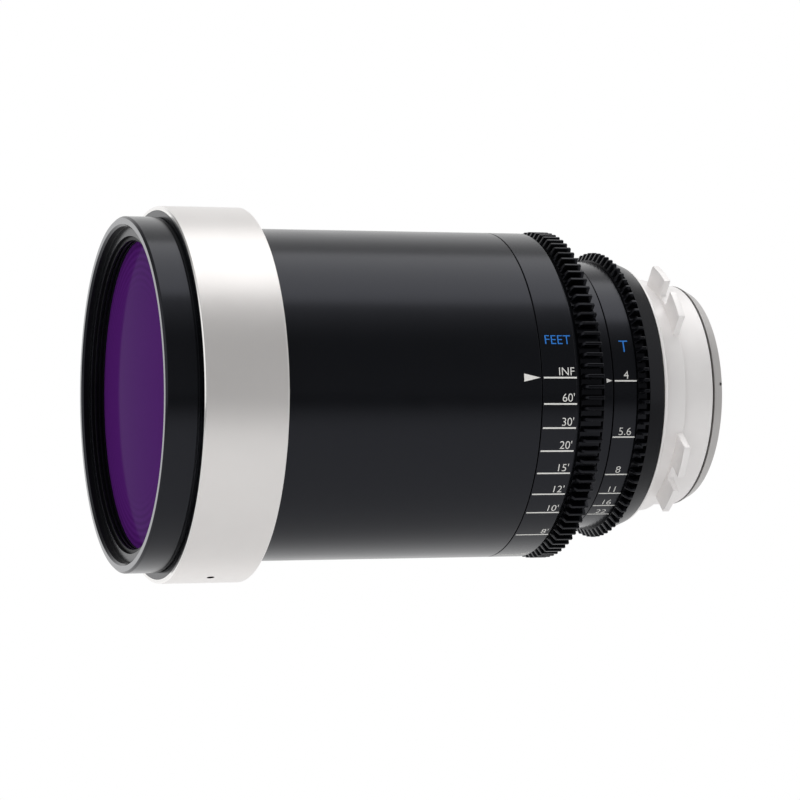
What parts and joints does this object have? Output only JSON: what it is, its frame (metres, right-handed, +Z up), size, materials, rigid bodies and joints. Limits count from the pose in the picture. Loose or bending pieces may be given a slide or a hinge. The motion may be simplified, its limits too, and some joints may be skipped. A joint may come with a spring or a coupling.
{
  "type": "cinema prime lens",
  "caption": "Squeeze-type cine prime lens: black barrel, satin band, geared focus and iris rings, working iris blades, four-lobe bayonet with a 54 mm rear barrel.",
  "frame": {"origin": "on the optical axis, at the mount's seat: the plane of the four lobes' camera-side faces", "axes": "+X along the optical axis into the camera, -Y towards the index marks, +Z up"},
  "size_m": [0.1419, 0.0882, 0.0882],
  "materials": {
    "front_black": "satin black anodised aluminium, turned",
    "barrel_black": "semi-gloss black anodised aluminium",
    "scale_black": "semi-gloss black anodised aluminium with filled engraving",
    "gear_black": "satin black anodised aluminium, cut teeth",
    "band_silver": "satin clear anodised aluminium",
    "mount_steel": "fine turned stainless steel",
    "trim_silver": "satin aluminium",
    "cell_black": "matt black anodised aluminium",
    "guide_alloy": "grey anodised aluminium",
    "pin_steel": "blackened steel",
    "follower_brass": "turned brass",
    "shim_brass": "rolled brass",
    "front_glass": "polished, violet coating",
    "inner_glass": "polished and coated",
    "iris_black": "blackened steel and anodised aluminium",
    "mark_white": "white engraving paint",
    "mark_blue": "blue engraving paint"
  },
  "bodies": {
    "lens_body": {"anamorphic_cell": "cell_black", "anamorphic_front_element": "inner_glass", "anamorphic_index_pin": "pin_steel", "anamorphic_rear_element": "inner_glass", "anamorphic_retaining_ring": "cell_black", "anamorphic_spacer": "cell_black", "band_screws": "pin_steel", "cam_retaining_ring": "guide_alloy", "camera_mount": "mount_steel", "cell_lock_ring": "cell_black", "front_element": "front_glass", "front_retaining_ring": "cell_black", "front_ring": "front_black", "housing_screws": "pin_steel", "index_band": "barrel_black", "inner_barrel": "guide_alloy", "inner_barrel_screws": "pin_steel", "iris_base_ring": "iris_black", "main_barrel": "barrel_black", "middle_cell": "cell_black", "middle_front_element": "inner_glass", "middle_rear_element": "inner_glass", "middle_retaining_ring": "cell_black", "middle_spacer": "cell_black", "mount_screws": "pin_steel", "mount_shim": "shim_brass", "rear_baffle": "cell_black", "rear_cell": "cell_black", "rear_cone": "barrel_black", "rear_element": "inner_glass", "rear_front_element": "inner_glass", "rear_housing": "guide_alloy", "rear_retaining_ring": "cell_black", "rear_spacer": "cell_black", "rear_trim_ring": "trim_silver", "silver_band": "band_silver"},
    "focus_rings": {"focus_ring": "scale_black", "focus_gear": "gear_black", "focus_drive_screws": "pin_steel", "cam_ring": "guide_alloy"},
    "focus_group": {"focus_cell": "cell_black", "focus_front_element": "inner_glass", "focus_spacer": "cell_black", "focus_rear_element": "inner_glass", "focus_cell_retaining_ring": "cell_black", "cam_followers": "follower_brass"},
    "iris_rings": {"iris_ring": "scale_black", "iris_gear": "gear_black", "iris_drive_pin": "pin_steel", "iris_cam_ring": "iris_black"},
    "blade_01": {"iris_blade_01": "iris_black"},
    "blade_02": {"iris_blade_02": "iris_black"},
    "blade_03": {"iris_blade_03": "iris_black"},
    "blade_04": {"iris_blade_04": "iris_black"},
    "blade_05": {"iris_blade_05": "iris_black"},
    "blade_06": {"iris_blade_06": "iris_black"},
    "blade_07": {"iris_blade_07": "iris_black"},
    "blade_08": {"iris_blade_08": "iris_black"},
    "blade_09": {"iris_blade_09": "iris_black"},
    "blade_10": {"iris_blade_10": "iris_black"}
  },
  "joints": [
    {"name": "focus_turn", "type": "hinge", "parent": "lens_body", "child": "focus_rings", "pos_m": [-0.0365, 0, 0], "axis": [-1, 0, 0], "range_deg": [0, 144]},
    {"name": "focus_cell_slide", "type": "slide", "parent": "lens_body", "child": "focus_group", "axis": [-1, 0, 0], "range_m": [0, 0.012]},
    {"name": "iris_turn", "type": "hinge", "parent": "lens_body", "child": "iris_rings", "pos_m": [-0.0161, 0, 0], "axis": [-1, 0, 0], "range_deg": [0, 68]},
    {"name": "blade_01_swing", "type": "hinge", "parent": "lens_body", "child": "blade_01", "pos_m": [-0.0154, 0.0223, 0], "axis": [1, 0, 0], "range_deg": [0, 30.5]},
    {"name": "blade_02_swing", "type": "hinge", "parent": "lens_body", "child": "blade_02", "pos_m": [-0.0154, 0.01804, 0.01311], "axis": [1, 0, 0], "range_deg": [0, 30.5]},
    {"name": "blade_03_swing", "type": "hinge", "parent": "lens_body", "child": "blade_03", "pos_m": [-0.0154, 0.00689, 0.02121], "axis": [1, 0, 0], "range_deg": [0, 30.5]},
    {"name": "blade_04_swing", "type": "hinge", "parent": "lens_body", "child": "blade_04", "pos_m": [-0.0154, -0.00689, 0.02121], "axis": [1, 0, 0], "range_deg": [0, 30.5]},
    {"name": "blade_05_swing", "type": "hinge", "parent": "lens_body", "child": "blade_05", "pos_m": [-0.0154, -0.01804, 0.01311], "axis": [1, 0, 0], "range_deg": [0, 30.5]},
    {"name": "blade_06_swing", "type": "hinge", "parent": "lens_body", "child": "blade_06", "pos_m": [-0.0154, -0.0223, 0], "axis": [1, 0, 0], "range_deg": [0, 30.5]},
    {"name": "blade_07_swing", "type": "hinge", "parent": "lens_body", "child": "blade_07", "pos_m": [-0.0154, -0.01804, -0.01311], "axis": [1, 0, 0], "range_deg": [0, 30.5]},
    {"name": "blade_08_swing", "type": "hinge", "parent": "lens_body", "child": "blade_08", "pos_m": [-0.0154, -0.00689, -0.02121], "axis": [1, 0, 0], "range_deg": [0, 30.5]},
    {"name": "blade_09_swing", "type": "hinge", "parent": "lens_body", "child": "blade_09", "pos_m": [-0.0154, 0.00689, -0.02121], "axis": [1, 0, 0], "range_deg": [0, 30.5]},
    {"name": "blade_10_swing", "type": "hinge", "parent": "lens_body", "child": "blade_10", "pos_m": [-0.0154, 0.01804, -0.01311], "axis": [1, 0, 0], "range_deg": [0, 30.5]}
  ],
  "couplings": [
    {"joint": "focus_cell_slide", "follows": "focus_turn", "m_per_rad": 0.0047746},
    {"joint": "blade_01_swing", "follows": "iris_turn", "ratio": 0.4475},
    {"joint": "blade_02_swing", "follows": "iris_turn", "ratio": 0.4475},
    {"joint": "blade_03_swing", "follows": "iris_turn", "ratio": 0.4475},
    {"joint": "blade_04_swing", "follows": "iris_turn", "ratio": 0.4475},
    {"joint": "blade_05_swing", "follows": "iris_turn", "ratio": 0.4475},
    {"joint": "blade_06_swing", "follows": "iris_turn", "ratio": 0.4475},
    {"joint": "blade_07_swing", "follows": "iris_turn", "ratio": 0.4475},
    {"joint": "blade_08_swing", "follows": "iris_turn", "ratio": 0.4475},
    {"joint": "blade_09_swing", "follows": "iris_turn", "ratio": 0.4475},
    {"joint": "blade_10_swing", "follows": "iris_turn", "ratio": 0.4475}
  ]
}
